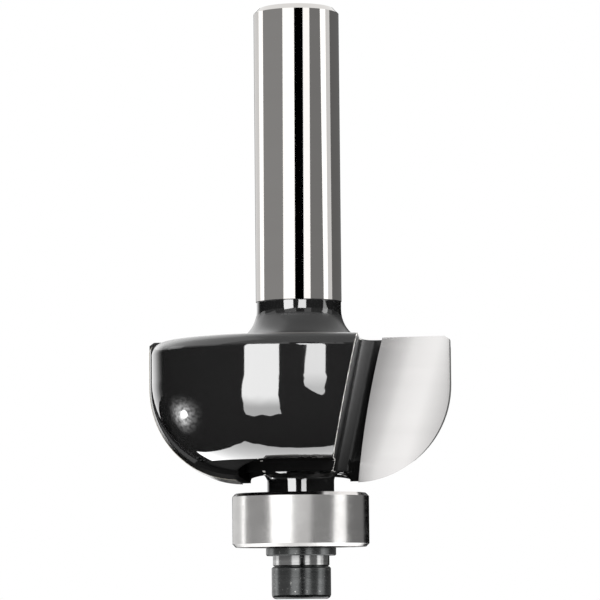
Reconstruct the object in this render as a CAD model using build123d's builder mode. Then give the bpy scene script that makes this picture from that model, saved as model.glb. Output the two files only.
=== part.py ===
from build123d import *

import os
from math import cos, radians, sin, sqrt, tan

# Cove router bit with a ball bearing pilot, in millimetres.
# The tool axis is Z with the shank up. The origin is on the axis at the foot of the shank.
# Tip 1 has its face in the plane Y = 0 on the +X side and looks towards -Y. Tip 2 is half a turn on.

# Shank and neck
shank_diameter = 8.0
shank_length = 27.6
shank_chamfer = 0.5
neck_diameter = 7.9
neck_length = 0.77
neck_fillet = 3.0

# Cutting tips
tip_count = 2
cutting_diameter = 28.7
cove_start_diameter = 10.7
cutting_length = 13.35
tip_overhang = 0.22
tip_thickness = 2.0
tip_relief = 0.35
tip_corner_width = 0.45
tip_corner_height = 0.3
tip_inner_top = 8.0
tip_flat_width = 0.2
tip_inner_bulge = 0.28
braze_thickness = 0.1

# Bowl-shaped body
body_side_clearance = 0.6
body_bottom_clearance = 1.0
body_corner_radius = 1.2
gullet_depth_radius = 5.87
gullet_slant = 12.3
gullet_wall_angle = 13.0
gullet_fillet = 1.4
gullet_floor_step = 0.15
wing_back = 4.5
wing_web_clearance = 0.1
wing_heel_side_clearance = 1.3
wing_heel_bottom_clearance = 0.75
wing_corner_radius = 0.8
relief_depth = 1.0
relief_radius = 7.3
relief_center_x = 2.5
relief_center_y = -3.0
hub_diameter = 10.4

# Arbor below the body
arbor_neck_diameter = 6.26
arbor_groove_radius = 0.81
bearing_gap = 0.92
spigot_clearance = 0.011
spigot_recess = 0.5
spigot_chamfer = 0.2

# Ball bearing
bearing_bore = 4.762
bearing_diameter = 12.7
bearing_width = 4.978
bearing_chamfer = 0.3
bore_chamfer = 0.2
ball_count = 7
ball_diameter = 2.381
raceway_radius = 1.24
inner_shoulder_diameter = 7.16
outer_shoulder_diameter = 10.3
cage_thickness = 0.2
cage_width = 1.2
cage_pocket_clearance = 0.06
rivet_diameter = 0.45
rivet_head_diameter = 0.8
rivet_head_height = 0.12
shield_thickness = 0.25
shield_seat_diameter = 10.9
shield_clearance = 0.1
shield_rim_clearance = 0.02
snap_ring_depth = 0.1
snap_ring_height = 0.2
snap_ring_width = 0.3
snap_ring_groove_diameter = 11.24
snap_ring_gap = 1.2

# Screw and washers
screw_diameter = 3.0
screw_length = 10.0
screw_tip_chamfer = 0.4
thread_clearance = 0.02
tapped_hole_spare = 1.0
screw_head_diameter = 5.5
screw_head_height = 3.0
screw_head_radius = 0.45
screw_head_chamfer = 0.15
socket_width = 2.5
socket_depth = 1.6
flat_washer_diameter = 6.5
flat_washer_bore = 3.2
flat_washer_thickness = 0.8
flat_washer_edge = 0.1
lock_washer_diameter = 5.25
lock_washer_bore = 3.1
lock_washer_thickness = 1.0
lock_washer_gap = 0.35
lock_washer_slant = 20.0
lock_washer_chamfer = 0.15

# Sizes of the cove that follow
cove_radius = (cutting_diameter - cove_start_diameter) / 2
cove_center_r = cove_start_diameter / 2
tip_inner_bottom = cove_center_r + tip_flat_width

# Heights that follow
body_top = -(neck_length + neck_fillet)
tip_top = body_top + tip_overhang
tip_bottom = tip_top - cutting_length
cove_center_z = tip_bottom + cove_radius
underside = tip_bottom + body_bottom_clearance
relief_floor = underside + relief_depth
bearing_top = tip_bottom - bearing_gap
bearing_middle = bearing_top - bearing_width / 2
bearing_bottom = bearing_top - bearing_width
spigot_bottom = bearing_bottom + spigot_recess
flat_washer_bottom = bearing_bottom - flat_washer_thickness
lock_washer_bottom = flat_washer_bottom - lock_washer_thickness
screw_bottom = lock_washer_bottom - screw_head_height
screw_tip = lock_washer_bottom + screw_length

# Radii that follow
shank_r = shank_diameter / 2
neck_r = neck_diameter / 2
body_r = cutting_diameter / 2 - body_side_clearance
body_arc = body_r - cove_center_r
arbor_r = arbor_neck_diameter / 2
groove_center_r = arbor_r + arbor_groove_radius
groove_center_z = underside - arbor_groove_radius
spigot_r = bearing_bore / 2 - spigot_clearance
pitch_r = (inner_shoulder_diameter + outer_shoulder_diameter) / 4
ball_r = ball_diameter / 2

TIP_ANGLES = [360 * i / tip_count for i in range(tip_count)]

os.makedirs("parts", exist_ok=True)


def turned_outline(arc, side, bottom, corner):
    """Draw a half section with a cove arc of the given radius below a straight side."""
    Line((0, bottom), (0, body_top))
    Line((0, body_top), (side - corner, body_top))
    CenterArc((side - corner, body_top - corner), corner, 0, 90)
    Line((side, body_top - corner), (side, bottom + arc))
    CenterArc((side - arc, bottom + arc), arc, 270, 90)
    Line((side - arc, bottom), (0, bottom))


def wing_outline(side_clearance, bottom_clearance):
    """Draw a section of a wing that stays inside the cutting edges by the two clearances."""
    turned_outline(
        cove_radius - bottom_clearance,
        cutting_diameter / 2 - side_clearance,
        tip_bottom + bottom_clearance,
        wing_corner_radius,
    )


def tip_outline(inset):
    """Draw the section that a tip sweeps, with its cutting edges moved in by inset."""
    side = cutting_diameter / 2 - inset
    arc = cove_radius - inset
    bottom = cove_center_z - arc
    Line((0, bottom), (0, tip_top))
    Line((0, tip_top), (side - tip_corner_width, tip_top))
    Line((side - tip_corner_width, tip_top), (side, tip_top - tip_corner_height))
    Line((side, tip_top - tip_corner_height), (side, cove_center_z))
    CenterArc((cove_center_r, cove_center_z), arc, 270, 90)
    Line((cove_center_r, bottom), (0, bottom))


def outside_inner_edge(margin):
    """Draw the area outside the bulged inner edge of a tip, wider than the tip by margin."""
    inner_top = (tip_inner_top, tip_top)
    inner_bottom = (tip_inner_bottom, tip_bottom)
    middle_x = (tip_inner_top + tip_inner_bottom) / 2 - tip_inner_bulge
    far = cutting_diameter / 2 + margin
    ThreePointArc(inner_top, (middle_x, (tip_top + tip_bottom) / 2), inner_bottom)
    Polyline(
        inner_bottom,
        (tip_inner_bottom, tip_bottom - margin),
        (far, tip_bottom - margin),
        (far, tip_top),
        inner_top,
    )


# Half round groove in the underside, between the arbor neck and the wings
with BuildPart() as groove_cutter:
    with BuildSketch(Plane.XZ):
        with BuildLine():
            Line((0, bearing_top), (0, underside))
            Line((0, underside), (groove_center_r, underside))
            CenterArc((groove_center_r, groove_center_z), arbor_groove_radius, 0, 90)
            Line(
                (groove_center_r + arbor_groove_radius, groove_center_z),
                (groove_center_r + arbor_groove_radius, bearing_top),
            )
            Line((groove_center_r + arbor_groove_radius, bearing_top), (0, bearing_top))
        make_face()
    revolve(axis=Axis.Z)

# Wing: the rib that backs a tip and falls away towards its heel
wing_sections = (
    (gullet_floor_step, wing_web_clearance, wing_web_clearance),
    (tip_thickness, tip_relief, tip_relief),
    (wing_back, wing_heel_side_clearance, wing_heel_bottom_clearance),
)
with BuildPart() as wing:
    for depth, side_clearance, bottom_clearance in wing_sections:
        with BuildSketch(Plane.XZ.offset(-depth)):
            with BuildLine():
                wing_outline(side_clearance, bottom_clearance)
            make_face()
    loft(ruled=True)
    add(groove_cutter.part, mode=Mode.SUBTRACT)

# Pocket milled into the wing for a tip and its solder
with BuildPart() as pocket_cutter:
    with BuildSketch(Plane.XZ.offset(cutting_diameter)):
        with BuildLine():
            outside_inner_edge(tip_thickness)
        make_face()
    extrude(amount=-(cutting_diameter + tip_thickness + braze_thickness))
    with BuildSketch(Plane.XY.offset(tip_top)):
        Rectangle(2 * cutting_diameter, 2 * cutting_diameter, align=(Align.CENTER, Align.MIN))
    extrude(amount=-2 * cutting_length, mode=Mode.INTERSECT)

# Gullet: a slanted notch with a round corner, open in front of a tip from top to bottom
gullet_corner = (gullet_depth_radius - body_top * tan(radians(gullet_slant)), gullet_floor_step)
gullet_reach = 2 * cutting_diameter
gullet_wall_end = (
    gullet_corner[0] + gullet_reach * sin(radians(gullet_wall_angle)),
    gullet_corner[1] - gullet_reach * cos(radians(gullet_wall_angle)),
)
with BuildPart() as gullet_cutter:
    with BuildSketch() as gullet_plan:
        with BuildLine():
            Polyline(
                gullet_corner,
                gullet_wall_end,
                (gullet_reach, gullet_wall_end[1]),
                (gullet_reach, gullet_corner[1]),
                close=True,
            )
        make_face()
        fillet(gullet_plan.vertices().sort_by_distance(gullet_corner)[0], gullet_fillet)
    extrude(
        amount=-bearing_top / cos(radians(gullet_slant)),
        dir=(-sin(radians(gullet_slant)), 0, -cos(radians(gullet_slant))),
    )

# Relief milled under the body in front of a tip, round the hub that stays in the middle
with BuildPart() as relief_cutter:
    with BuildSketch(Plane.XY.offset(relief_floor)):
        with Locations((relief_center_x, relief_center_y)):
            Circle(relief_radius)
        with Locations((0, gullet_floor_step)):
            Rectangle(
                2 * cutting_diameter,
                cutting_diameter,
                align=(Align.CENTER, Align.MIN),
                mode=Mode.SUBTRACT,
            )
    extrude(amount=bearing_top - relief_floor)
    with BuildSketch(Plane.XY.offset(underside)):
        Circle(hub_diameter / 2)
    extrude(amount=relief_depth, mode=Mode.SUBTRACT)
    with BuildSketch(Plane.XY.offset(bearing_top)):
        Circle(groove_center_r + arbor_groove_radius)
    extrude(amount=underside - bearing_top, mode=Mode.SUBTRACT)

# Shank, neck, body, wings and arbor: one turned and milled piece of steel
with BuildPart() as cutter_body:
    with BuildSketch(Plane.XZ):
        with BuildLine():
            turned_outline(body_arc, body_r, underside, body_corner_radius)
        make_face()
        with BuildLine():
            Polyline(
                (0, body_top),
                (0, shank_length),
                (shank_r - shank_chamfer, shank_length),
                (shank_r, shank_length - shank_chamfer),
                (shank_r, 0),
                (neck_r, 0),
                (neck_r, -neck_length),
            )
            CenterArc((neck_r + neck_fillet, -neck_length), neck_fillet, 180, 90)
            Line((neck_r + neck_fillet, body_top), (0, body_top))
        make_face()
        with BuildLine():
            Line((0, underside), (groove_center_r, underside))
            CenterArc((groove_center_r, groove_center_z), arbor_groove_radius, 90, 90)
            Polyline(
                (arbor_r, groove_center_z),
                (arbor_r, bearing_top),
                (spigot_r, bearing_top),
                (spigot_r, spigot_bottom + spigot_chamfer),
                (spigot_r - spigot_chamfer, spigot_bottom),
                (0, spigot_bottom),
                (0, underside),
            )
        make_face()
    revolve(axis=Axis.Z)
    for angle in TIP_ANGLES:
        add(wing.part, rotation=(0, 0, angle))
    for angle in TIP_ANGLES:
        add(relief_cutter.part, rotation=(0, 0, angle), mode=Mode.SUBTRACT)
        add(gullet_cutter.part, rotation=(0, 0, angle), mode=Mode.SUBTRACT)
        add(pocket_cutter.part, rotation=(0, 0, angle), mode=Mode.SUBTRACT)
    with Locations((0, 0, spigot_bottom)):
        Cylinder(
            screw_diameter / 2 + thread_clearance,
            screw_tip + tapped_hole_spare - spigot_bottom,
            align=(Align.CENTER, Align.CENTER, Align.MIN),
            mode=Mode.SUBTRACT,
        )
cutter_body.part.label = "cutter_body"
export_step(cutter_body.part, "parts/cutter_body.step")

# Carbide tips and the solder behind them
for number, angle in enumerate(TIP_ANGLES, start=1):
    with BuildPart() as carbide_tip:
        for depth, inset in ((0, 0), (tip_thickness, tip_relief)):
            with BuildSketch(Plane.XZ.offset(-depth)):
                with BuildLine():
                    tip_outline(inset)
                make_face()
        loft(ruled=True)
        add(pocket_cutter.part, mode=Mode.INTERSECT)
    tip_part = carbide_tip.part.rotate(Axis.Z, angle)
    tip_part.label = f"carbide_tip_{number}"
    export_step(tip_part, f"parts/carbide_tip_{number}.step")

    with BuildPart() as braze_seam:
        with BuildSketch(Plane.XZ.offset(-tip_thickness)):
            with BuildLine():
                wing_outline(tip_relief, tip_relief)
            make_face()
        extrude(amount=-braze_thickness)
        add(pocket_cutter.part, mode=Mode.INTERSECT)
    seam_part = braze_seam.part.rotate(Axis.Z, angle)
    seam_part.label = f"braze_seam_{number}"
    export_step(seam_part, f"parts/braze_seam_{number}.step")

# Bearing rings
with BuildPart() as bearing_inner_ring:
    with BuildSketch(Plane.XZ) as inner_section:
        with Locations(((bearing_bore + inner_shoulder_diameter) / 4, bearing_middle)):
            Rectangle((inner_shoulder_diameter - bearing_bore) / 2, bearing_width)
        bore_corners = inner_section.vertices().sort_by(Axis.X)[:2]
        chamfer(bore_corners, bore_chamfer)
        with Locations((pitch_r, bearing_middle)):
            Circle(raceway_radius, mode=Mode.SUBTRACT)
    revolve(axis=Axis.Z)
bearing_inner_ring.part.label = "bearing_inner_ring"
export_step(bearing_inner_ring.part, "parts/bearing_inner_ring.step")

shield_outer_face = snap_ring_depth + snap_ring_height
shield_seat_depth = shield_outer_face + shield_thickness
with BuildPart() as bearing_outer_ring:
    with BuildSketch(Plane.XZ) as outer_section:
        with Locations(((bearing_diameter + outer_shoulder_diameter) / 4, bearing_middle)):
            Rectangle((bearing_diameter - outer_shoulder_diameter) / 2, bearing_width)
        rim_corners = outer_section.vertices().sort_by(Axis.X)[-2:]
        chamfer(rim_corners, bearing_chamfer)
        with Locations((pitch_r, bearing_middle)):
            Circle(raceway_radius, mode=Mode.SUBTRACT)
        for face_z, inward in ((bearing_top, -1), (bearing_bottom, 1)):
            with Locations((0, face_z + inward * shield_seat_depth / 2)):
                Rectangle(shield_seat_diameter, shield_seat_depth, mode=Mode.SUBTRACT)
            with Locations((0, face_z + inward * (snap_ring_depth + snap_ring_height / 2))):
                Rectangle(snap_ring_groove_diameter, snap_ring_height, mode=Mode.SUBTRACT)
    revolve(axis=Axis.Z)
bearing_outer_ring.part.label = "bearing_outer_ring"
export_step(bearing_outer_ring.part, "parts/bearing_outer_ring.step")

# Balls
for number in range(1, ball_count + 1):
    ball_angle = 360 * (number - 1) / ball_count
    with BuildPart() as ball:
        ball_x = pitch_r * cos(radians(ball_angle))
        ball_y = pitch_r * sin(radians(ball_angle))
        with Locations((ball_x, ball_y, bearing_middle)):
            Sphere(ball_r)
    ball.part.label = f"ball_{number}"
    export_step(ball.part, f"parts/ball_{number}.step")

# Ribbon cage: two pressed halves that meet between the balls, held by rivets
pocket_r = ball_r + cage_pocket_clearance
half_pitch = 180 / ball_count
for side, name in ((1, "cage_upper"), (-1, "cage_lower")):
    with BuildPart() as ribbon:
        with BuildSketch(Plane.XY.offset(bearing_middle)):
            Circle(pitch_r + cage_width)
        extrude(amount=side * cage_thickness)
        with Locations((0, 0, bearing_middle)):
            with PolarLocations(pitch_r, ball_count):
                Sphere(pocket_r + cage_thickness)
            with PolarLocations(pitch_r, ball_count):
                Sphere(pocket_r, mode=Mode.SUBTRACT)
    with BuildPart() as cage_half:
        with BuildSketch(Plane.XY.offset(bearing_middle)):
            Circle(pitch_r + cage_width / 2)
            Circle(pitch_r - cage_width / 2, mode=Mode.SUBTRACT)
        extrude(amount=side * (pocket_r + cage_thickness))
        add(ribbon.part, mode=Mode.INTERSECT)
        with BuildSketch(Plane.XY.offset(bearing_middle)):
            with PolarLocations(pitch_r, ball_count, start_angle=half_pitch):
                Circle(rivet_diameter / 2)
        extrude(amount=side * cage_thickness, mode=Mode.SUBTRACT)
    cage_half.part.label = name
    export_step(cage_half.part, f"parts/{name}.step")

with BuildPart() as cage_rivets:
    with BuildSketch(Plane.XY.offset(bearing_middle - cage_thickness)):
        with PolarLocations(pitch_r, ball_count, start_angle=half_pitch):
            Circle(rivet_diameter / 2)
    extrude(amount=2 * cage_thickness)
    for side in (1, -1):
        with BuildSketch(Plane.XY.offset(bearing_middle + side * cage_thickness)):
            with PolarLocations(pitch_r, ball_count, start_angle=half_pitch):
                Circle(rivet_head_diameter / 2)
        extrude(amount=side * rivet_head_height)
cage_rivets.part.label = "cage_rivets"
export_step(cage_rivets.part, "parts/cage_rivets.step")

# Dust shields, each kept in the outer ring by a split snap ring
for name_end, face_z, inward in (("upper", bearing_top, -1), ("lower", bearing_bottom, 1)):
    with BuildPart() as shield:
        with BuildSketch(Plane.XY.offset(face_z + inward * shield_outer_face)):
            Circle(shield_seat_diameter / 2 - shield_rim_clearance)
            Circle(inner_shoulder_diameter / 2 + shield_clearance, mode=Mode.SUBTRACT)
        extrude(amount=inward * shield_thickness)
    shield.part.label = f"shield_{name_end}"
    export_step(shield.part, f"parts/shield_{name_end}.step")

    with BuildPart() as snap_ring:
        with BuildSketch(Plane.XY.offset(face_z + inward * snap_ring_depth)):
            Circle(snap_ring_groove_diameter / 2 - shield_rim_clearance)
            Circle(snap_ring_groove_diameter / 2 - snap_ring_width, mode=Mode.SUBTRACT)
            with Locations((0, snap_ring_groove_diameter / 2)):
                Rectangle(snap_ring_gap, 2 * snap_ring_width + snap_ring_gap, mode=Mode.SUBTRACT)
        extrude(amount=inward * snap_ring_height)
    snap_ring.part.label = f"snap_ring_{name_end}"
    export_step(snap_ring.part, f"parts/snap_ring_{name_end}.step")

# Flat washer under the bearing
with BuildPart() as flat_washer:
    with BuildSketch(Plane.XY.offset(flat_washer_bottom)):
        Circle(flat_washer_diameter / 2)
        Circle(flat_washer_bore / 2, mode=Mode.SUBTRACT)
    extrude(amount=flat_washer_thickness)
    chamfer(flat_washer.edges().filter_by(GeomType.CIRCLE).sort_by(SortBy.RADIUS)[-2:], flat_washer_edge)
flat_washer.part.label = "flat_washer"
export_step(flat_washer.part, "parts/flat_washer.step")

# Lock washer, split by a slanted cut
with BuildPart() as lock_washer:
    with BuildSketch(Plane.XY.offset(lock_washer_bottom)):
        Circle(lock_washer_diameter / 2)
        Circle(lock_washer_bore / 2, mode=Mode.SUBTRACT)
    extrude(amount=lock_washer_thickness)
    chamfer(
        lock_washer.faces().sort_by(Axis.Z)[0].outer_wire().edges(),
        lock_washer_chamfer,
    )
    slant_shift = lock_washer_thickness * tan(radians(lock_washer_slant))
    split_side = Plane((0, 0, lock_washer_bottom), x_dir=(0, 1, 0), z_dir=(1, 0, 0))
    with BuildSketch(split_side):
        with BuildLine():
            Polyline(
                (-lock_washer_gap / 2 - slant_shift / 2, 0),
                (lock_washer_gap / 2 - slant_shift / 2, 0),
                (lock_washer_gap / 2 + slant_shift / 2, lock_washer_thickness),
                (-lock_washer_gap / 2 + slant_shift / 2, lock_washer_thickness),
                close=True,
            )
        make_face()
    extrude(amount=lock_washer_diameter, mode=Mode.SUBTRACT)
lock_washer.part.label = "lock_washer"
export_step(lock_washer.part, "parts/lock_washer.step")

# Socket head cap screw
with BuildPart() as pilot_screw:
    with BuildSketch(Plane.XY.offset(screw_bottom)):
        Circle(screw_head_diameter / 2)
    extrude(amount=screw_head_height)
    head_rims = pilot_screw.edges().filter_by(GeomType.CIRCLE).sort_by(Axis.Z)
    fillet(head_rims[0], screw_head_radius)
    chamfer(head_rims[-1], screw_head_chamfer)
    with BuildSketch(Plane.XY.offset(lock_washer_bottom)):
        Circle(screw_diameter / 2)
    extrude(amount=screw_length)
    chamfer(pilot_screw.edges().filter_by(GeomType.CIRCLE).sort_by(Axis.Z)[-1], screw_tip_chamfer)
    with BuildSketch(Plane.XY.offset(screw_bottom)):
        RegularPolygon(socket_width / 2, 6, major_radius=False)
    extrude(amount=socket_depth, mode=Mode.SUBTRACT)
pilot_screw.part.label = "pilot_screw"
export_step(pilot_screw.part, "parts/pilot_screw.step")
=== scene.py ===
"""Dress the cove router bit: polished shank, coated body, carbide tips and bearing pilot."""

import logging
import math
from dataclasses import dataclass, field, replace
from enum import Enum

import bmesh
import bpy
from mathutils import Matrix, Vector


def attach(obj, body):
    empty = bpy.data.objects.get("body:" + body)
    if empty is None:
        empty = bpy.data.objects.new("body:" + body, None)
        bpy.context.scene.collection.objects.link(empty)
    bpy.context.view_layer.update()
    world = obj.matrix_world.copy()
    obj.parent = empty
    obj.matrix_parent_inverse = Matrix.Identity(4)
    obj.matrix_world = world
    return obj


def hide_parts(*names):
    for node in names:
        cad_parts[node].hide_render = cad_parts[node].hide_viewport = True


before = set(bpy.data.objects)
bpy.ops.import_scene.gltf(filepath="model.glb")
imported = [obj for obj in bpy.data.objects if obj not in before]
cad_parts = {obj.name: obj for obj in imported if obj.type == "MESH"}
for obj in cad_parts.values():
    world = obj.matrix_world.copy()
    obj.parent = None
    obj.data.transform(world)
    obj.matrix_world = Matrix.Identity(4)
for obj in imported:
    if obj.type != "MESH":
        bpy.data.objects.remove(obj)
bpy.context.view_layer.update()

LOG = logging.getLogger("router_bit")
MM = 0.001

Color = tuple[float, float, float]

# The normal of the first notch's flat wall. The second notch is the first, turned by 180 degrees.
NOTCH_WALL = (0.9531, 0.22, -0.2078)
NOTCH_DISTANCE = 6.411 * MM  # from the axis to the wall, along its normal

# The coating's chips, whose pale colour also paints a highlight along the notch edges, and the
# heights between which it is satin.
CHIP_AND_HIGHLIGHT_WIDTH = 0.12 * MM
CHIP_AND_HIGHLIGHT_RADIUS = 0.14 * MM
CHIP_AND_HIGHLIGHT_SCALE = 2600.0
CHIP_AND_HIGHLIGHT_NOISE = 3.2
SATIN_TOP = -1.25 * MM
SATIN_FOOT = -4.1 * MM


class Axis(Enum):
    """The direction along which a tool left its marks."""

    ROUND = "round"
    ALONG_X = "along_x"


# ---------------------------------------------------------------- shader building

Socket = bpy.types.NodeSocket
Value = Socket | float | tuple[float, ...]


@dataclass
class Nodes:
    """A node tree with short ways to add and join its nodes."""

    tree: bpy.types.NodeTree

    def node(self, kind: str, **settings: object) -> bpy.types.Node:
        """Add a node.

        Args:
            kind: The node's type name.
            settings: Values for the node's own properties.

        Returns:
            The new node.
        """
        node = self.tree.nodes.new(kind)
        for name, value in settings.items():
            setattr(node, name, value)
        return node

    def feed(self, node: bpy.types.Node, **values: Value) -> bpy.types.Node:
        """Link or set a node's inputs.

        Args:
            node: The node.
            values: A socket or a plain value for each input, with underscores for spaces.

        Returns:
            The same node.
        """
        for name, value in values.items():
            self.join(value, node.inputs[name.replace("_", " ")])
        return node

    def join(self, value: Value, target: Socket) -> None:
        """Link a socket to an input, or set the input to a plain value.

        Args:
            value: The socket or value.
            target: The input.
        """
        if isinstance(value, Socket):
            self.tree.links.new(value, target)
        else:
            target.default_value = value

    def math(self, operation: str, *values: Socket | float) -> Socket:
        """Add a math node.

        Args:
            operation: The node's operation.
            values: A socket or a number for each input.

        Returns:
            The socket of its result.
        """
        node = self.node("ShaderNodeMath", operation=operation)
        for value, target in zip(values, node.inputs):
            self.join(value, target)
        return node.outputs["Value"]

    def map_range(self, source: Socket, smooth: bool = False, **limits: Socket | float) -> Socket:
        """Stretch a value from one range to another.

        Args:
            source: The value.
            smooth: True to ease both ends.
            limits: From_Min, From_Max, To_Min and To_Max, where they aren't 0 and 1.

        Returns:
            The socket of the result.
        """
        kind = "SMOOTHSTEP" if smooth else "LINEAR"
        node = self.node("ShaderNodeMapRange", interpolation_type=kind)
        return self.feed(node, Value=source, **limits).outputs["Result"]

    def split(self, vector: Socket) -> tuple[Socket, Socket, Socket]:
        """Take a vector apart.

        Args:
            vector: The vector.

        Returns:
            The sockets of its X, Y and Z.
        """
        parts = self.feed(self.node("ShaderNodeSeparateXYZ"), Vector=vector).outputs
        return parts["X"], parts["Y"], parts["Z"]

    def noise(self, vector: Socket, **values: Socket | float) -> Socket:
        """Add a noise texture.

        Args:
            vector: The coordinates.
            values: Its Scale, Detail and Roughness.

        Returns:
            The socket of the noise.
        """
        node = self.node("ShaderNodeTexNoise")
        return self.feed(node, Vector=vector, **values).outputs["Fac"]


@dataclass
class Shader(Nodes):
    """A material under construction."""

    material: bpy.types.Material

    @classmethod
    def new(cls, name: str) -> "Shader":
        """Start a material.

        Args:
            name: The material's name.

        Returns:
            The shader, with an empty tree.
        """
        material = bpy.data.materials.new(name)
        material.use_nodes = True
        material.node_tree.nodes.clear()
        return cls(material.node_tree, material)

    def finish(self, surface: Socket) -> bpy.types.Material:
        """Join the surface to the output.

        Args:
            surface: The socket of the finished shader.

        Returns:
            The finished material.
        """
        self.feed(self.node("ShaderNodeOutputMaterial"), Surface=surface)
        return self.material

    def mix(self, factor: Socket, first: Socket | Color, second: Color) -> Socket:
        """Mix two colours.

        Args:
            factor: The share of the second colour.
            first: A colour, or the socket of one.
            second: The other colour.

        Returns:
            The socket of the mixed colour.
        """
        node = self.node("ShaderNodeMix", data_type="RGBA")
        first = first if isinstance(first, Socket) else (*first, 1.0)
        return self.feed(node, Factor=factor, A=first, B=(*second, 1.0)).outputs["Result"]


def start_group(
    name: str, inputs: dict[str, float], outputs: tuple[str, ...]
) -> tuple[Nodes, bpy.types.NodeOutputs, bpy.types.Node]:
    """Start a shader node group.

    Args:
        name: The group's name.
        inputs: The names and usual values of its inputs, besides the input Vector.
        outputs: The names of its outputs.

    Returns:
        Its nodes, the sockets of its inputs and its output node.
    """
    tree = bpy.data.node_groups.new(name, "ShaderNodeTree")
    vector = tree.interface.new_socket("Vector", in_out="INPUT", socket_type="NodeSocketVector")
    vector.hide_value = True
    for key, value in inputs.items():
        socket = tree.interface.new_socket(key, in_out="INPUT", socket_type="NodeSocketFloat")
        socket.default_value = value
    for key in outputs:
        tree.interface.new_socket(key, in_out="OUTPUT", socket_type="NodeSocketFloat")
    nodes = Nodes(tree)
    return nodes, nodes.node("NodeGroupInput").outputs, nodes.node("NodeGroupOutput")


def tool_marks_group() -> bpy.types.NodeTree:
    """Build the group that gives fine streaks and blotches over a metal surface.

    Returns:
        A group with inputs Vector, Scale and Blotch Scale and outputs Streaks and Blotches.
    """
    nodes, given, result = start_group(
        "tool_marks", {"Scale": 1000.0, "Blotch Scale": 300.0}, ("Streaks", "Blotches")
    )
    vector = given["Vector"]
    nodes.feed(
        result,
        Streaks=nodes.noise(vector, Scale=given["Scale"], Detail=4.0, Roughness=0.65),
        Blotches=nodes.noise(vector, Scale=given["Blotch Scale"], Detail=2.0, Roughness=0.5),
    )
    return nodes.tree


def worn_specks_group() -> bpy.types.NodeTree:
    """Build the group that scatters small specks where a dark finish is worn through.

    Returns:
        A group with inputs Vector, Scale, Level and Fade and the output Specks, a mask.
    """
    nodes, given, result = start_group(
        "worn_specks", {"Scale": 3500.0, "Level": 0.66, "Fade": 0.06}, ("Specks",)
    )
    grain = nodes.noise(given["Vector"], Scale=given["Scale"], Detail=3.0)
    end = nodes.math("ADD", given["Level"], given["Fade"])
    nodes.feed(result, Specks=nodes.map_range(grain, From_Min=given["Level"], From_Max=end))
    return nodes.tree


def coating_skin_group() -> bpy.types.NodeTree:
    """Build the group that gives the coating's roughness, chips with a painted edge highlight, and
    orange peel.

    The coating is satin on the flare under the neck, down to the body's shoulder. It is chipped
    where the surface turns sharply within a hair of either notch's wall, and noise breaks the
    chips up. The pale chips are partly real chips and partly a painted highlight along those
    edges.

    Returns:
        A group with inputs Vector, Roughness, Satin, the chips' roughness and Peel Scale and
        outputs the mask of the chips and painted edge highlight, Roughness, and Peel, a height.
    """
    nodes, given, result = start_group(
        "coating_skin",
        {"Roughness": 0.04, "Satin": 0.3, "Chip And Highlight Roughness": 0.35, "Peel Scale": 350.0},
        ("Chips", "Roughness", "Peel"),
    )
    x, y, z = nodes.split(given["Vector"])
    flat = nodes.math("MULTIPLY", x, NOTCH_WALL[0])
    flat = nodes.math("ADD", flat, nodes.math("MULTIPLY", y, NOTCH_WALL[1]))
    slope = nodes.math("MULTIPLY", z, NOTCH_WALL[2])
    from_axis = nodes.math("ADD", nodes.math("ABSOLUTE", flat), slope)
    gap = nodes.math("ABSOLUTE", nodes.math("SUBTRACT", from_axis, NOTCH_DISTANCE))
    near_notch = nodes.math("LESS_THAN", gap, CHIP_AND_HIGHLIGHT_WIDTH)

    rounded = nodes.feed(nodes.node("ShaderNodeBevel", samples=6), Radius=CHIP_AND_HIGHLIGHT_RADIUS)
    true = nodes.node("ShaderNodeNewGeometry")
    dot = nodes.node("ShaderNodeVectorMath", operation="DOT_PRODUCT")
    nodes.join(rounded.outputs["Normal"], dot.inputs[0])
    nodes.join(true.outputs["Normal"], dot.inputs[1])
    edge = nodes.map_range(dot.outputs["Value"], From_Min=1.0, From_Max=0.9)
    grain = nodes.noise(given["Vector"], Scale=CHIP_AND_HIGHLIGHT_SCALE, Detail=5.0, Roughness=0.7)
    centred = nodes.math("SUBTRACT", grain, 0.5)
    broken = nodes.math("ADD", edge, nodes.math("MULTIPLY", centred, CHIP_AND_HIGHLIGHT_NOISE))
    # Pale chips near the notch walls: partly chipped coating, partly a painted highlight along the
    # edge.
    chipped_and_highlit = nodes.map_range(broken, From_Min=0.3, From_Max=0.6)
    on_edge = nodes.math("GREATER_THAN", edge, 0.05)
    chips_and_highlight = nodes.math("MULTIPLY", nodes.math("MULTIPLY", chipped_and_highlit, on_edge), near_notch)

    below = nodes.map_range(z, From_Min=SATIN_TOP, From_Max=SATIN_TOP - 0.15 * MM)
    above = nodes.map_range(
        z, From_Min=SATIN_FOOT - 0.8 * MM, From_Max=SATIN_FOOT, To_Max=given["Satin"]
    )
    satin = nodes.math("MULTIPLY", below, above)
    rough = nodes.map_range(chips_and_highlight, To_Min=given["Roughness"], To_Max=given["Chip And Highlight Roughness"])
    peel = nodes.noise(given["Vector"], Scale=given["Peel Scale"], Detail=1.0)
    nodes.feed(result, Chips=chips_and_highlight, Roughness=nodes.math("MAXIMUM", rough, satin), Peel=peel)
    return nodes.tree


TOOL_MARKS = tool_marks_group()
WORN_SPECKS = worn_specks_group()
COATING_SKIN = coating_skin_group()


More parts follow.
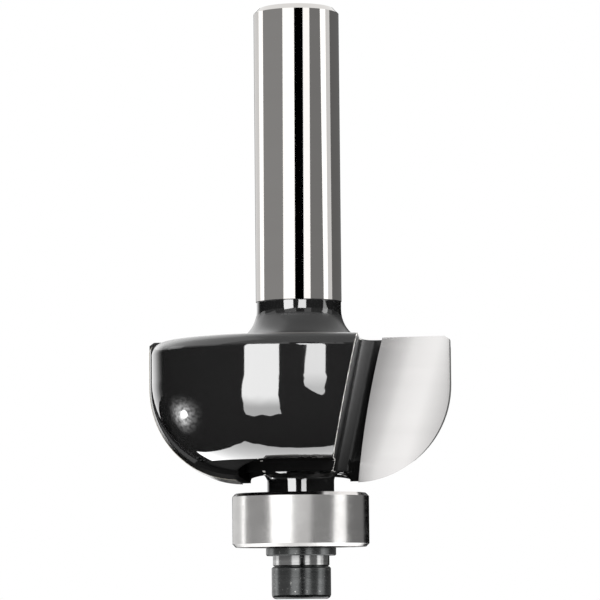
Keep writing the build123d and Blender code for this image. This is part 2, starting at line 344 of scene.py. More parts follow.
def mark_vector(shader: Shader, marks: Axis, stretch: float) -> Socket:
    """Give coordinates that are squeezed across the marks a tool leaves.

    Args:
        shader: The material under construction.
        marks: The way the marks run.
        stretch: How much longer than wide a mark is.

    Returns:
        The socket of the coordinates.
    """
    place = shader.node("ShaderNodeTexCoord").outputs["Object"]
    if marks is Axis.ROUND:
        x, y, z = shader.split(place)
        flat = shader.feed(shader.node("ShaderNodeCombineXYZ"), X=x, Y=y)
        radius = shader.node("ShaderNodeVectorMath", operation="LENGTH")
        shader.join(flat.outputs["Vector"], radius.inputs[0])
        squeezed = shader.math("MULTIPLY", x, 1.0 / stretch)
        join = shader.node("ShaderNodeCombineXYZ")
        shader.feed(join, X=radius.outputs["Value"], Y=squeezed, Z=z)
        return join.outputs["Vector"]
    mapping = shader.node("ShaderNodeMapping")
    return shader.feed(mapping, Scale=(1.0 / stretch, 1.0, 1.0), Vector=place).outputs["Vector"]


def spread_noise(shader: Shader, source: Socket, low: float, high: float) -> Socket:
    """Stretch a noise value, which seldom leaves 0.3 to 0.7, to a wanted range.

    Args:
        shader: The material under construction.
        source: The noise value.
        low: The value where the noise is 0.3.
        high: The value where the noise is 0.7.

    Returns:
        The socket of the stretched value.
    """
    return shader.map_range(source, From_Min=0.3, From_Max=0.7, To_Min=low, To_Max=high)


@dataclass(frozen=True)
class MetalFinish:
    """Bare or blackened metal with the marks of the tool that finished it."""

    name: str
    color: Color
    dark_color: Color
    roughness: tuple[float, float]
    marks: Axis = Axis.ROUND
    mark_stretch: float = 20.0
    mark_scale: float = 9000.0
    blotch_scale: float = 500.0
    bump: float = 0.02
    bump_height: float = 0.002 * MM
    specks: bool = False
    speck_color: Color = (0.6, 0.6, 0.58)

    def build(self) -> bpy.types.Material:
        """Build the material.

        Returns:
            The finished material.
        """
        shader = Shader.new(self.name)
        vector = mark_vector(shader, self.marks, self.mark_stretch)
        marks = shader.node("ShaderNodeGroup", node_tree=TOOL_MARKS)
        shader.feed(marks, Vector=vector, Scale=self.mark_scale, Blotch_Scale=self.blotch_scale)
        streaks = marks.outputs["Streaks"]
        blotches = spread_noise(shader, marks.outputs["Blotches"], 0.0, 1.0)
        color = shader.mix(blotches, self.dark_color, self.color)
        if self.specks:
            specks = shader.node("ShaderNodeGroup", node_tree=WORN_SPECKS)
            shader.feed(specks, Vector=shader.node("ShaderNodeTexCoord").outputs["Object"])
            color = shader.mix(specks.outputs["Specks"], color, self.speck_color)
        bump = shader.node("ShaderNodeBump")
        shader.feed(bump, Strength=self.bump, Distance=self.bump_height, Height=streaks)
        surface = shader.feed(
            shader.node("ShaderNodeBsdfPrincipled"),
            Metallic=1.0,
            Base_Color=color,
            Roughness=spread_noise(shader, streaks, *self.roughness),
            Normal=bump.outputs["Normal"],
        )
        return shader.finish(surface.outputs["BSDF"])


@dataclass(frozen=True)
class CoatingFinish:
    """Black coating with slight orange peel, a satin flare, and chips and a painted highlight on
    the notch edges.
    """

    name: str
    color: Color
    # The pale chip colour is partly bare chips in the coating and partly a painted edge highlight.
    chip_and_highlight_color: Color = (0.75, 0.73, 0.7)
    roughness: float = 0.04
    satin: float = 0.3
    ior: float = 1.5
    peel_height: float = 0.01 * MM
    peel_strength: float = 0.02
    edge_radius: float = 0.16 * MM

    def build(self) -> bpy.types.Material:
        """Build the material.

        Returns:
            The finished material.
        """
        shader = Shader.new(self.name)
        place = shader.node("ShaderNodeTexCoord").outputs["Object"]
        skin = shader.node("ShaderNodeGroup", node_tree=COATING_SKIN)
        shader.feed(skin, Vector=place, Roughness=self.roughness, Satin=self.satin)
        rounded = shader.node("ShaderNodeBevel", samples=8)
        shader.feed(rounded, Radius=self.edge_radius)
        bump = shader.feed(
            shader.node("ShaderNodeBump"),
            Strength=self.peel_strength,
            Distance=self.peel_height,
            Height=skin.outputs["Peel"],
            Normal=rounded.outputs["Normal"],
        )
        surface = shader.feed(
            shader.node("ShaderNodeBsdfPrincipled"),
            Metallic=0.0,
            IOR=self.ior,
            # Pale chips, partly a painted highlight along the notch edges.
            Base_Color=shader.mix(skin.outputs["Chips"], self.color, self.chip_and_highlight_color),
            Roughness=skin.outputs["Roughness"],
            Normal=bump.outputs["Normal"],
        )
        return shader.finish(surface.outputs["BSDF"])


FINISHES: dict[str, MetalFinish | CoatingFinish] = {
    "polished_steel": MetalFinish(
        "polished_steel", (0.72, 0.7, 0.68), (0.7, 0.68, 0.66), (0.03, 0.06), bump=0.01
    ),
    "coating": CoatingFinish("gloss_black_coating", (0.006, 0.006, 0.006)),
    # The hollows' coatings paint shade: a low IOR takes away most of their gloss, and the matt
    # wall's black is darker still.
    "recess": CoatingFinish(
        "painted_shade_dull_coating", (0.006, 0.006, 0.006), roughness=0.2, ior=1.1, satin=0.0
    ),
    "recess_wall": CoatingFinish(
        "painted_shade_matt_wall", (0.004, 0.004, 0.004), roughness=0.45, ior=1.02, satin=0.0
    ),
    "carbide": MetalFinish(
        "ground_carbide", (0.6, 0.59, 0.585), (0.57, 0.56, 0.555), (0.2, 0.24), marks=Axis.ALONG_X
    ),
    "solder": MetalFinish("silver_solder", (0.7, 0.66, 0.55), (0.55, 0.52, 0.45), (0.3, 0.45)),
    "bearing": MetalFinish(
        "ground_bearing_steel",
        (0.68, 0.67, 0.66),
        (0.6, 0.59, 0.58),
        (0.15, 0.27),
        mark_stretch=1.5,
        mark_scale=7000.0,
        bump=0.03,
    ),
    "ball": MetalFinish("lapped_ball_steel", (0.75, 0.74, 0.73), (0.73, 0.72, 0.71), (0.03, 0.06)),
    "pressed": MetalFinish(
        "pressed_sheet_steel", (0.6, 0.59, 0.57), (0.5, 0.49, 0.48), (0.3, 0.45)
    ),
    "spring": MetalFinish("spring_steel", (0.4, 0.39, 0.38), (0.32, 0.31, 0.3), (0.3, 0.4)),
    "black_oxide": MetalFinish(
        "black_oxide",
        (0.2, 0.205, 0.205),
        (0.09, 0.093, 0.093),
        (0.2, 0.3),
        blotch_scale=900.0,
        bump=0.05,
        specks=True,
    ),
    "oiled_spring": MetalFinish(
        "oiled_spring_steel",
        (0.75, 0.75, 0.74),
        (0.3, 0.3, 0.3),
        (0.12, 0.2),
        blotch_scale=1300.0,
        bump=0.04,
        specks=True,
    ),
}


# ---------------------------------------------------------------- pieces

WELD_DISTANCE = 0.0005 * MM
SHARP_ANGLE = math.radians(30.0)
LARGE_FACE_WEIGHT = 80


def smoothed_copy(
    node: str, name: str, above: float | None = None, below: float | None = None
) -> bpy.types.Object:
    """Copy a CAD node, weld its loose triangles and shade its curved faces smooth.

    Args:
        node: The CAD node.
        name: The new piece's name.
        above: Keep only the faces whose middle is above this height in mm, and close the cut.
        below: Keep only the faces whose middle is below this height in mm, and close the cut.

    Returns:
        The new piece.
    """
    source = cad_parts[node]
    piece = bpy.data.objects.new(name, source.data.copy())
    bpy.context.scene.collection.objects.link(piece)
    bpy.ops.object.select_all(action="DESELECT")
    piece.select_set(True)
    bpy.context.view_layer.objects.active = piece
    bpy.ops.object.mode_set(mode="EDIT")
    bpy.ops.mesh.select_all(action="SELECT")
    bpy.ops.mesh.remove_doubles(threshold=WELD_DISTANCE)
    bpy.ops.mesh.customdata_custom_splitnormals_clear()
    bpy.ops.object.mode_set(mode="OBJECT")
    if above is not None or below is not None:
        cut_at_height(piece, above, below)
    bpy.ops.object.shade_smooth_by_angle(angle=SHARP_ANGLE)
    weighted = piece.modifiers.new("weighted", "WEIGHTED_NORMAL")
    weighted.keep_sharp = True
    weighted.weight = LARGE_FACE_WEIGHT
    bpy.ops.object.modifier_apply(modifier=weighted.name)
    piece.data.materials.clear()
    return piece


def cut_at_height(piece: bpy.types.Object, above: float | None, below: float | None) -> None:
    """Remove the part of the active piece on the wrong side of a height and close the opening.

    Args:
        piece: The active piece, in object mode.
        above: Keep only the faces whose middle is above this height in mm.
        below: Keep only the faces whose middle is below this height in mm.
    """
    margin = 0.001  # in mm
    bpy.ops.object.mode_set(mode="EDIT")
    bpy.ops.mesh.select_all(action="DESELECT")
    bpy.ops.object.mode_set(mode="OBJECT")
    for face in piece.data.polygons:
        height = face.center.z / MM
        too_low = above is not None and height < above + margin
        too_high = below is not None and height > below + margin
        face.select = too_low or too_high
    bpy.ops.object.mode_set(mode="EDIT")
    bpy.ops.mesh.delete(type="FACE")
    bpy.ops.mesh.select_all(action="DESELECT")
    bpy.ops.mesh.select_non_manifold(extend=False, use_boundary=True)
    bpy.ops.mesh.edge_face_add()
    bpy.ops.object.mode_set(mode="OBJECT")


@dataclass
class Workshop:
    """Makes each finish once and hands it out."""

    made: dict[str, bpy.types.Material] = field(default_factory=dict)

    def finish(self, key: str) -> bpy.types.Material:
        """Give a finish's material, building it the first time.

        Args:
            key: A key of FINISHES.

        Returns:
            The material.
        """
        if key not in self.made:
            self.made[key] = FINISHES[key].build()
        return self.made[key]

    def stand_in(
        self, node: str, body: str, finish: str, slot: str, name: str = "", **cut: float
    ) -> bpy.types.Object:
        """Replace a CAD node, or a part of it, by a smooth copy with a finish.

        Args:
            node: The CAD node.
            body: The body it rides on.
            finish: The key of its finish.
            slot: The record's material slot. It is not used.
            name: The piece's name, if it isn't the node's.
            cut: A height as above= or below=, where only a part of the node is wanted.

        Returns:
            The new piece.
        """
        piece = smoothed_copy(node, f"{name or node}_dressed", **cut)
        piece.data.materials.append(self.finish(finish))
        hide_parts(node)
        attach(piece, body)
        LOG.info("dressed %s in %s", node, finish)
        return piece


@dataclass
class Cutter:
    """The one-piece shank and body with its brazed tips.

    The coated body is gloss black outside. Its notches, the backs and roots of its wings and its
    hub are dull, and the flat walls of the notches and its flat foot are matt: their weak gloss is
    painted shade in those hollows and under the body. The lengths that
    tell these apart are in mm, for the first notch: X points out from the axis and Y to the rear.
    """

    workshop: Workshop
    coating_top: float = 0.0
    body: str = "cutter"
    notch_start: float = 6.36
    notch_rear: float = 0.3
    wall_band: float = 0.12
    wall_rear: float = -0.8
    wing_depth: tuple[float, float] = (-0.3, 4.52)
    wing_root: float = 5.2
    foot_height: float = -14.85
    hub_radius: tuple[float, float] = (4.6, 5.6)
    hub_height: tuple[float, float] = (-16.45, -14.7)
    coated: bpy.types.Object | None = None
    tips: list[bpy.types.Object] = field(default_factory=list)

    def build(self) -> None:
        """Dress the bare shank, the coated body, the tips and the solder."""
        make, node, top = self.workshop.stand_in, "cutter_body", self.coating_top
        make(node, self.body, "polished_steel", "polished_steel", "shank", above=top)
        self.coated = make(node, self.body, "coating", "coated_steel", "coated_body", below=top)
        # Add the dull and matt coatings that paint shade in the hollows and under the body.
        for finish in ("recess", "recess_wall"):
            self.coated.data.materials.append(self.workshop.finish(finish))
        for face in self.coated.data.polygons:
            face.material_index = self._coat(face.center / MM)
        for number in (1, 2):
            self.tips.append(make(f"carbide_tip_{number}", self.body, "carbide", "carbide"))
            make(f"braze_seam_{number}", self.body, "solder", "silver_solder")

    def _coat(self, place: Vector) -> int:
        """Choose the coating at a place on the body.

        Args:
            place: The place in mm.

        Returns:
            The material's index: 0 for gloss, 1 for dull and 2 for matt; dull and matt paint
            shade.
        """
        side = 1.0 if place.x > 0 else -1.0
        x, y, z = place.x * side, place.y * side, place.z
        radius = math.hypot(x, y)
        into_notch = (x * NOTCH_WALL[0] + y * NOTCH_WALL[1] + z * NOTCH_WALL[2]) - self.notch_start
        on_wall = y < self.wall_rear and 0.0 < into_notch < self.wall_band
        on_foot = z < self.foot_height and radius > self.hub_radius[0]
        if on_wall or on_foot:
            return 2
        in_notch = y < self.notch_rear and into_notch > 0.0
        on_wing = self.wing_depth[0] < y < self.wing_depth[1] and x > self.wing_root
        on_hub = (
            self.hub_radius[0] < radius < self.hub_radius[1]
            and self.hub_height[0] < z < self.hub_height[1]
        )
        return int(in_notch or on_wing or on_hub)


@dataclass
class Bearing:
    """The shielded ball bearing."""

    workshop: Workshop
    ball_count: int = 7
    outer_ring: bpy.types.Object | None = None

    def build(self) -> None:
        """Dress the rings, balls, cage, shields and snap rings."""
        self.workshop.stand_in("bearing_inner_ring", "cutter", "bearing", "bearing_steel")
        self.outer_ring = self.workshop.stand_in(
            "bearing_outer_ring", "outer_race", "bearing", "bearing_steel"
        )
        for number in range(1, self.ball_count + 1):
            self.workshop.stand_in(f"ball_{number}", f"ball_{number}", "ball", "polished_steel")
        for node in ("cage_upper", "cage_lower", "cage_rivets"):
            self.workshop.stand_in(node, "cage", "pressed", "pressed_steel")
        for end in ("upper", "lower"):
            self.workshop.stand_in(f"shield_{end}", "outer_race", "pressed", "pressed_steel")
            self.workshop.stand_in(f"snap_ring_{end}", "outer_race", "spring", "spring_steel")


@dataclass
class PilotFastening:
    """The screw and washers that hold the bearing."""

    workshop: Workshop

    def build(self) -> None:
        """Dress the screw and both washers."""
        for node in ("flat_washer", "pilot_screw"):
            self.workshop.stand_in(node, "cutter", "black_oxide", "blackened_steel")
        self.workshop.stand_in("lock_washer", "cutter", "oiled_spring", "blackened_steel")


# ---------------------------------------------------------------- studio


class Cut(Enum):
    """The outline and shading of a panel lamp."""

    PLAIN = "plain"
    DIM_FOOT = "dim_foot"
    GLOW = "glow"
    BITTEN = "bitten"
    TAPERED = "tapered"
    FADING = "fading"
    SLANTED = "slanted"
    BAND = "band"


BITTEN_LEFT = (
    (0.0, 0.86), (0.035, 0.8), (0.17, 0.52), (0.345, 0.294), (0.68, 0.244),
    (0.762, 0.29), (0.79, 0.36), (0.81, 0.32), (0.83, 0.127), (1.0, 0.0),
)
BITTEN_RIGHT = ((0.0, 0.84), (0.035, 0.9), (0.1, 0.955), (0.345, 0.96), (1.0, 0.945))
SLANTED_TONE = (
    (0.0, 0.36), (0.25, 0.36), (0.3, 0.47), (0.4, 0.67), (0.46, 0.87),
    (0.56, 0.95), (0.65, 0.99), (0.75, 0.8), (0.86, 0.6), (1.0, 0.5),
)


@dataclass(frozen=True)
class Panel:
    """A lamp that shows only in the gloss of the pieces it is meant for.

    The azimuth is in degrees from the camera, to the right, and the elevation is in degrees, both
    seen from the focus, a point in mm. The sizes are in mm.
    """

    name: str
    azimuth: float
    elevation: float
    width: float
    height: float
    brightness: float
    cut: Cut = Cut.PLAIN
    turn: float = 0.0
    distance: float = 290.0
    focus: tuple[float, float, float] = (0.0, 0.0, -9.0)


@dataclass(frozen=True)
class Card:
    """A curved card that stands round the object and shows in its polished surfaces.

    Azimuths are in degrees from the camera, to the right. Heights are in mm above the origin.
    """

    name: str
    start: float
    end: float
    brightness: float
    low: float = -110.0
    high: float = 170.0
    distance: float = 420.0


@dataclass
class Studio:
    """The camera, floor, lamps and cards."""

    coated: bpy.types.Object
    tips: list[bpy.types.Object]
    outer_ring: bpy.types.Object
    azimuth: float = 15.5
    distance: float = 320.0
    camera_height: float = -27.6
    pitch: float = 4.965
    roll: float = 0.55
    aim_right: float = 0.12
    lens: float = 206.6
    floor_height: float = -60.0
    cards: tuple[Card, ...] = (
        Card("left_rear_grey", -164, -124, 0.8),
        Card("left_rear_white", -124, -104, 1.6),
        Card("left_grey", -104, -39, 0.3),
        Card("left_softbox", -39, -7.5, 1.5),
        Card("front_dark", -7.5, 16, 0.0),
        Card("right_softbox", 16, 34, 1.4),
        Card("right_grey", 34, 69, 0.22),
        Card("right_white", 69, 86, 1.6),
        Card("right_pale", 86, 102, 0.8),
        Card("right_rear_dark", 102, 169, 0.15),
        Card("rear_dark", 169, 196, 0.1),
    )
    coated_card_height: float = 78.0
    card_dark_to_tips: str = "left_softbox"
    coated_panels: tuple[Panel, ...] = (
        Panel("window", -30.8, -16.0, 145, 335, 20.0, Cut.DIM_FOOT, turn=-7.0),
        Panel("side_window", 9.0, 0.0, 121, 190, 18.0, Cut.BITTEN, focus=(0.0, 0.0, -38.0)),
        Panel("side_light", 76.0, 15.5, 80, 80, 5.0, turn=20.0),
        Panel("glint", -113.5, -21.5, 300, 170, 40.0, Cut.GLOW),
        Panel("rim_light", -155.0, 30.0, 330, 391, 1.5, Cut.FADING),
        Panel("left_sky", -100.0, 45.0, 400, 300, 1.0),
        Panel(
            "pocket_light", 92.0, -10.0, 5, 13, 32.0, Cut.BAND,
            distance=1.4, focus=(5.2, -0.7, -9.5),
        ),
        Panel(
            "ground_light", 0.0, -90.0, 98, 88, 7.0, Cut.TAPERED,
            distance=50.5, focus=(-11.1, 40.0, -9.0),
        ),
    )
    tip_panels: tuple[Panel, ...] = (
        Panel(
            "tip_light_1", -15.5, 0.0, 9, 15.5, 1.5, Cut.SLANTED,
            distance=2.5, focus=(9.4, 0.0, -9.2),
        ),
        Panel(
            "tip_light_2", 164.5, 0.0, 9, 15.5, 1.5, Cut.SLANTED,
            distance=2.5, focus=(-9.4, 0.0, -9.2),
        ),
    )
    ring_panels: tuple[Panel, ...] = (
        Panel("ring_left_rear", -141.0, 0.0, 246, 289, 0.8),
        Panel("ring_left_edge", -112.0, 0.0, 61, 289, 1.7),
        Panel("ring_left", -79.5, 0.0, 289, 289, 0.4),
        Panel("ring_window", -33.3, 0.0, 205, 289, 1.9),
        Panel("ring_front", 1.5, 0.0, 161, 289, 0.75),
        Panel("ring_right", 37.0, 0.0, 211, 289, 0.3),
        Panel("ring_right_edge", 69.0, 0.0, 123, 289, 1.7),
        Panel("ring_right_rear", 106.0, 0.0, 270, 289, 0.22),
        Panel("ring_ground", 0.0, -90.0, 120, 120, 1.0, distance=38.0, focus=(0.0, 0.0, -21.0)),
    )

    def direction(self, offset: float = 0.0) -> Vector:
        """Give the flat direction from the object at an azimuth from the camera.

        Args:
            offset: Degrees to the right of the camera.

        Returns:
            A unit vector.
        """
        angle = math.radians(self.azimuth + offset)
        return Vector((math.sin(angle), -math.cos(angle), 0.0))

    def build(self) -> None:
        """Set up the whole studio."""
        self._camera()
        self._world()
        self._floor()
        self._lamps()
        self._ground()
        for card in self.cards:
            tips = self.tips if card.name == self.card_dark_to_tips else []
            middle = self.coated_card_height
            self._card(replace(card, high=middle), [self.coated, self.outer_ring, *tips])
            self._card(replace(card, name=f"{card.name}_top", low=middle), tips)
        for panel in self.coated_panels:
            self._panel(panel, [self.coated])
        for panel, tip in zip(self.tip_panels, self.tips):
            self._panel(panel, [tip])
        for panel in self.ring_panels:
            self._panel(panel, [self.outer_ring])
        bpy.context.scene.view_settings.view_transform = "Standard"

    def _camera(self) -> None:
        """Place the camera below the object's middle, looking slightly up."""
        data = bpy.data.cameras.new("camera")
        data.lens = self.lens
        data.clip_start = 0.01
        data.clip_end = 10.0
        camera = bpy.data.objects.new("camera", data)
        bpy.context.scene.collection.objects.link(camera)
        back = self.direction()
        right = Vector((-back.y, back.x, 0.0))
        pitch = math.radians(self.pitch)
        camera.location = (back * self.distance + Vector((0, 0, self.camera_height))) * MM
        rise = self.distance * math.tan(pitch)
        target = (right * self.aim_right + Vector((0, 0, self.camera_height + rise))) * MM
        look = (target - camera.location).to_track_quat("-Z", "Y").to_matrix()
        tilt = Matrix.Rotation(math.radians(-self.roll), 3, "Z")
        camera.rotation_euler = (look @ tilt).to_euler()
        bpy.context.scene.camera = camera

    def _world(self) -> None:
        """Make the surroundings white to the eye and in mirror images, and a soft grey light."""
        world = bpy.data.worlds.new("surroundings")
        world.use_nodes = True
        bpy.context.scene.world = world
        world.node_tree.nodes.clear()
        nodes = Nodes(world.node_tree)
        rays = nodes.node("ShaderNodeLightPath").outputs
        seen = nodes.math("MAXIMUM", rays["Is Camera Ray"], rays["Is Glossy Ray"])
        seen = nodes.math("MAXIMUM", seen, rays["Is Transmission Ray"])
        light = nodes.node("ShaderNodeBackground")
        nodes.feed(light, Color=(0.9, 0.9, 0.9, 1.0), Strength=0.5)
        white = nodes.node("ShaderNodeBackground")
        nodes.feed(white, Color=(1.0, 1.0, 1.0, 1.0), Strength=1.0)
        mix = nodes.feed(nodes.node("ShaderNodeMixShader"), Fac=seen)
        nodes.join(light.outputs["Background"], mix.inputs[1])
        nodes.join(white.outputs["Background"], mix.inputs[2])
        nodes.feed(nodes.node("ShaderNodeOutputWorld"), Surface=mix.outputs["Shader"])

    def _floor(self) -> None:
        """Lay a plain pale floor some way below the object."""
        bpy.ops.object.select_all(action="DESELECT")
        bpy.ops.mesh.primitive_plane_add(size=4.0, location=(0, 0, self.floor_height * MM))
        floor = bpy.context.object
        floor.name = "floor"
        floor.data.materials.append(floor_material())
        floor.visible_glossy = False

    def _ground(self) -> None:
        """Lay what the polished pieces see below them: a white card over a wide dark ground."""
        back = self.direction()
        right = Vector((-back.y, back.x, 0.0))
        up = Vector((0, 0, self.floor_height + 0.2))
        outline = ((-49.0, -85.0), (49.0, -85.0), (27.0, 6.0), (-27.0, 1.3))
        corners = [right * u + back * v + up for u, v in outline]
        link_light(glowing_mesh("ground_card", [corners], 1.0), [self.coated], False)
        size, low = 3000.0, -400.0
        square = ((-1, -1), (1, -1), (1, 1), (-1, 1))
        corners = [Vector((x * size, y * size, low)) for x, y in square]
        glowing_mesh("dark_ground", [corners], 0.02)

    def _lamps(self) -> None:
        """Hang soft lamps left, right and behind, which show in no mirror image."""
        width, distance, aim_height = 0.3, 0.5, -0.005  # in m
        for name, offset, height, power in (
            ("key_lamp", -28, 250, 6.0),
            ("fill_lamp", 60, 200, 3.0),
            ("back_lamp", 170, 300, 3.0),
        ):
            data = bpy.data.lights.new(name, "AREA")
            data.size = width
            data.energy = power
            lamp = bpy.data.objects.new(name, data)
            bpy.context.scene.collection.objects.link(lamp)
            lamp.location = self.direction(offset) * distance + Vector((0, 0, height * MM))
            aim = Vector((0, 0, aim_height)) - lamp.location
            lamp.rotation_euler = aim.to_track_quat("-Z", "Y").to_euler()
            lamp.visible_camera = False
            lamp.visible_glossy = False

    def _card(self, card: Card, hidden_from: list[bpy.types.Object]) -> None:
        """Stand one card round the object, seen only in reflections.

        Args:
            card: The card's place and brightness.
            hidden_from: The pieces that see the card as black.
        """
        step_angle = 3.0
        steps = max(1, round((card.end - card.start) / step_angle))
        feet = [
            self.direction(card.start + (card.end - card.start) * step / steps) * card.distance
            for step in range(steps + 1)
        ]
        low, high = Vector((0, 0, card.low)), Vector((0, 0, card.high))
        faces = [[a + low, b + low, b + high, a + high] for a, b in zip(feet, feet[1:])]
        piece = glowing_mesh(card.name, faces, card.brightness)
        if hidden_from:
            link_light(piece, hidden_from, False)

    def _panel(self, panel: Panel, shown_to: list[bpy.types.Object]) -> None:
        """Hang one panel lamp.

        Args:
            panel: The lamp's place, size and look.
            shown_to: The only pieces it lights.
        """
        rise = math.radians(panel.elevation)
        away = self.direction(panel.azimuth) * math.cos(rise) + Vector((0, 0, math.sin(rise)))
        data = bpy.data.lights.new(panel.name, "AREA")
        data.shape = "ELLIPSE" if panel.cut is Cut.GLOW else "RECTANGLE"
        data.size = panel.width * MM
        data.size_y = panel.height * MM
        area = data.size * data.size_y * (math.pi / 4 if data.shape == "ELLIPSE" else 1.0)
        data.energy = panel.brightness * math.pi * area
        lamp = bpy.data.objects.new(panel.name, data)
        bpy.context.scene.collection.objects.link(lamp)
        lamp.location = (Vector(panel.focus) + away * panel.distance) * MM
        back = self.direction()
        side = Vector((0, 0, 1)).cross(away)
        side = Vector((-back.y, back.x, 0)) if side.length < 0.01 else side.normalized()
        facing = Matrix((side, away.cross(side), away)).transposed()
        turn = Matrix.Rotation(math.radians(panel.turn), 3, "Z")
        lamp.rotation_euler = (facing @ turn).to_euler()
        lamp.visible_camera = False
        lamp.visible_diffuse = False
        link_light(lamp, shown_to, True)
        if panel.cut is not Cut.PLAIN:
            data.use_nodes = True
            PanelFace(data.node_tree).shape(panel.cut)


def floor_material() -> bpy.types.Material:
    """Build the pale floor, which fades to white far away and is clear from below.

    Returns:
        The finished material.
    """
    shader = Shader.new("pale_floor")
    floor = shader.feed(
        shader.node("ShaderNodeBsdfPrincipled"),
        Base_Color=(0.86, 0.86, 0.86, 1.0),
        Roughness=0.9,
        Specular_IOR_Level=0.1,
    )
    white = shader.feed(shader.node("ShaderNodeEmission"), Strength=1.0)
    clear = shader.node("ShaderNodeBsdfTransparent")
    place = shader.node("ShaderNodeNewGeometry").outputs
    length = shader.node("ShaderNodeVectorMath", operation="LENGTH")
    shader.join(place["Position"], length.inputs[0])
    fade = shader.map_range(length.outputs["Value"], smooth=True, From_Min=0.12, From_Max=0.4)
    seen = shader.node("ShaderNodeLightPath").outputs["Is Camera Ray"]
    pale = shader.feed(shader.node("ShaderNodeMixShader"), Fac=shader.math("MULTIPLY", fade, seen))
    shader.join(floor.outputs["BSDF"], pale.inputs[1])
    shader.join(white.outputs["Emission"], pale.inputs[2])
    sides = shader.feed(shader.node("ShaderNodeMixShader"), Fac=place["Backfacing"])
    shader.join(pale.outputs["Shader"], sides.inputs[1])
    shader.join(clear.outputs["BSDF"], sides.inputs[2])
    return shader.finish(sides.outputs["Shader"])


def glowing_mesh(name: str, faces: list[list[Vector]], brightness: float) -> bpy.types.Object:
    """Make a mesh that glows and shows only in reflections.

    Args:
        name: The mesh's name.
        faces: The corners of each face, in mm.
        brightness: The strength of its glow, where 1 is white.

    Returns:
        The new object.
    """
    mesh = bmesh.new()
    for corners in faces:
        mesh.faces.new([mesh.verts.new(corner * MM) for corner in corners])
    data = bpy.data.meshes.new(name)
    mesh.to_mesh(data)
    mesh.free()
    piece = bpy.data.objects.new(name, data)
    bpy.context.scene.collection.objects.link(piece)
    shader = Shader.new(name)
    glow = shader.feed(shader.node("ShaderNodeEmission"), Strength=brightness)
    data.materials.append(shader.finish(glow.outputs["Emission"]))
    piece.visible_camera = False
    piece.visible_diffuse = False
    piece.visible_shadow = False
    piece.visible_transmission = False
    return piece


def link_light(light: bpy.types.Object, pieces: list[bpy.types.Object], shown: bool) -> None:
    """Choose the pieces that a light or a glowing card lights.

    Args:
        light: The light or card.
        pieces: The pieces to name.
        shown: True if it lights only those pieces, False if it lights all but those.
    """
    group = bpy.data.collections.new(f"{light.name}_pieces")
    for piece in pieces:
        group.objects.link(piece)
    for member in group.collection_objects:
        member.light_linking.link_state = "INCLUDE" if shown else "EXCLUDE"
    light.light_linking.receiver_collection = group


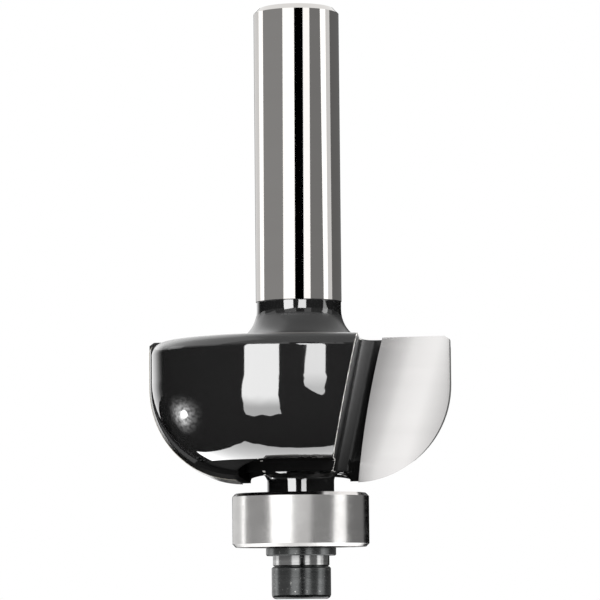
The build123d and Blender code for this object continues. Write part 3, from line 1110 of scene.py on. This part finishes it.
@dataclass
class PanelFace(Nodes):
    """The nodes that give a panel lamp its outline and shading."""

    place: Socket = field(init=False)
    across: Socket = field(init=False)
    up: Socket = field(init=False)

    def __post_init__(self) -> None:
        """Find the place on the lamp's face, from 0 to 1 both across and up."""
        self.place = self.node("ShaderNodeNewGeometry").outputs["Parametric"]
        self.across, self.up, _ = self.split(self.place)

    def shape(self, cut: Cut) -> None:
        """Drive the lamp's strength.

        Args:
            cut: The outline and shading to give it.
        """
        shades = {
            Cut.DIM_FOOT: self._dim_foot,
            Cut.GLOW: self._glow,
            Cut.BITTEN: self._bitten,
            Cut.TAPERED: self._tapered,
            Cut.FADING: self._fading,
            Cut.SLANTED: self._slanted,
            Cut.BAND: self._band,
        }
        lamp = next(node for node in self.tree.nodes if node.type == "EMISSION")
        self.feed(lamp, Strength=shades[cut]())

    def _curve(self, source: Socket, points: tuple[tuple[float, float], ...]) -> Socket:
        """Read a drawn curve at a value from 0 to 1.

        Args:
            source: The value.
            points: The curve's points, from left to right.

        Returns:
            The socket of the curve's height there.
        """
        node = self.feed(self.node("ShaderNodeValToRGB"), Fac=source)
        stops = node.color_ramp.elements
        stops[0].position, stops[-1].position = points[0][0], points[-1][0]
        for position, _ in points[1:-1]:
            stops.new(position)
        for stop, (_, value) in zip(stops, points):
            stop.color = (value, value, value, 1.0)
        return node.outputs["Color"]

    def _between(self, low: Socket, high: Socket) -> Socket:
        """Give the mask of what lies between two places across.

        Args:
            low: The left place.
            high: The right place.

        Returns:
            The socket of the mask.
        """
        left = self.math("GREATER_THAN", self.across, low)
        right = self.math("LESS_THAN", self.across, high)
        return self.math("MULTIPLY", left, right)

    def _dim_foot(self) -> Socket:
        """Give a lamp that is dimmer at its foot.

        Returns:
            The socket of the shade.
        """
        return self.map_range(self.up, smooth=True, From_Min=0.15, From_Max=0.44, To_Min=0.46)

    def _glow(self) -> Socket:
        """Give a small bright core in a wide mottled halo.

        Returns:
            The socket of the shade.
        """
        parts = [self.math("SUBTRACT", part, 0.5) for part in (self.across, self.up)]
        squares = [self.math("POWER", part, 2.0) for part in parts]
        radius = self.math("SQRT", self.math("ADD", *squares))
        fall = self.math("SUBTRACT", 1.0, self.math("MULTIPLY", radius, 2.0))
        fall = self.math("MAXIMUM", fall, 0.0)
        core = self.map_range(fall, From_Min=0.82, From_Max=0.98)
        mottle = self.noise(self.place, Scale=14.0, Detail=3.0)
        patches = self.map_range(mottle, From_Min=0.36, From_Max=0.64, To_Min=0.35, To_Max=1.7)
        halo = self.math("MULTIPLY", self.math("POWER", fall, 3.2), 0.28)
        return self.math("ADD", core, self.math("MULTIPLY", halo, patches))

    def _bitten(self) -> Socket:
        """Give a window with a bite out of its left side, dimmer at its foot.

        Returns:
            The socket of the shade.
        """
        left = self._curve(self.up, BITTEN_LEFT)
        right = self._curve(self.up, BITTEN_RIGHT)
        fade = self.map_range(self.up, From_Min=0.3, From_Max=0.78, To_Min=0.66)
        return self.math("MULTIPLY", self._between(left, right), fade)

    def _tapered(self) -> Socket:
        """Give a card that narrows upward.

        Returns:
            The socket of the mask.
        """
        inset = self.math("MULTIPLY", self.up, 0.22)
        return self._between(inset, self.math("SUBTRACT", 1.0, inset))

    def _fading(self) -> Socket:
        """Give a lamp that fades to the right.

        Returns:
            The socket of the shade.
        """
        return self.map_range(self.across, smooth=True, From_Min=0.95, From_Max=0.55)

    def _slanted(self) -> Socket:
        """Give a lamp whose tone runs along a slant.

        Returns:
            The socket of the shade.
        """
        slope = self.math("MULTIPLY", self.across, 0.71)
        slant = self.math("ADD", slope, self.math("MULTIPLY", self.up, -0.381))
        return self._curve(self.math("ADD", slant, 0.345), SLANTED_TONE)

    def _band(self) -> Socket:
        """Give an upright band with soft sides, brighter at its top.

        Returns:
            The socket of the shade.
        """
        left = self.map_range(self.across, smooth=True, From_Max=0.45)
        right = self.map_range(self.across, smooth=True, From_Min=1.0, From_Max=0.55)
        rise = self.math("ADD", self.math("MULTIPLY", self.up, 0.85), 0.15)
        return self.math("MULTIPLY", self.math("MULTIPLY", left, right), rise)


def main() -> None:
    """Dress every piece, then set up the studio."""
    logging.basicConfig(level=logging.INFO)
    workshop = Workshop()
    cutter, bearing = Cutter(workshop), Bearing(workshop)
    for assembly in (cutter, bearing, PilotFastening(workshop)):
        assembly.build()
        LOG.info("finished %s", type(assembly).__name__)
    Studio(cutter.coated, cutter.tips, bearing.outer_ring).build()


if __name__ == "__main__":
    main()
